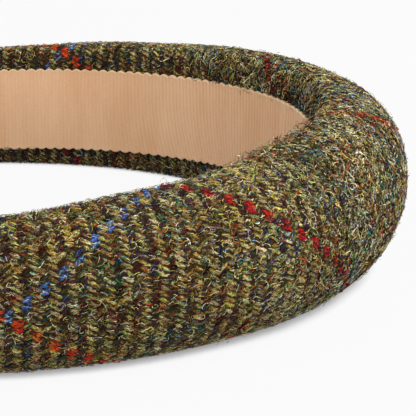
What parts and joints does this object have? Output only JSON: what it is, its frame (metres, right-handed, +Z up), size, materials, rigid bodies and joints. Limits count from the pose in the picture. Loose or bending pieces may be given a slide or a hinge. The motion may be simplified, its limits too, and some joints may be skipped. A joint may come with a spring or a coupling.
{
  "type": "padded headband",
  "caption": "Padded headband in tweed with a ribbed ribbon lining, an open hoop that tapers from the crown to two rounded tips, lying on its edge.",
  "frame": {"origin": "on the surface that it lies on, under the middle of its bounding box", "axes": "+Y from the open ends towards the crown, +Z up across the band's width, +X towards one arm"},
  "size_m": [0.1582, 0.1708, 0.043],
  "materials": {
    "tweed": "woven wool tweed, heathered, slightly fuzzy",
    "ribbon": "ribbed petersham ribbon, matt with a faint sheen"
  },
  "bodies": {
    "root": {"padded_band": "tweed", "lining_ribbon": "ribbon"}
  },
  "joints": []
}
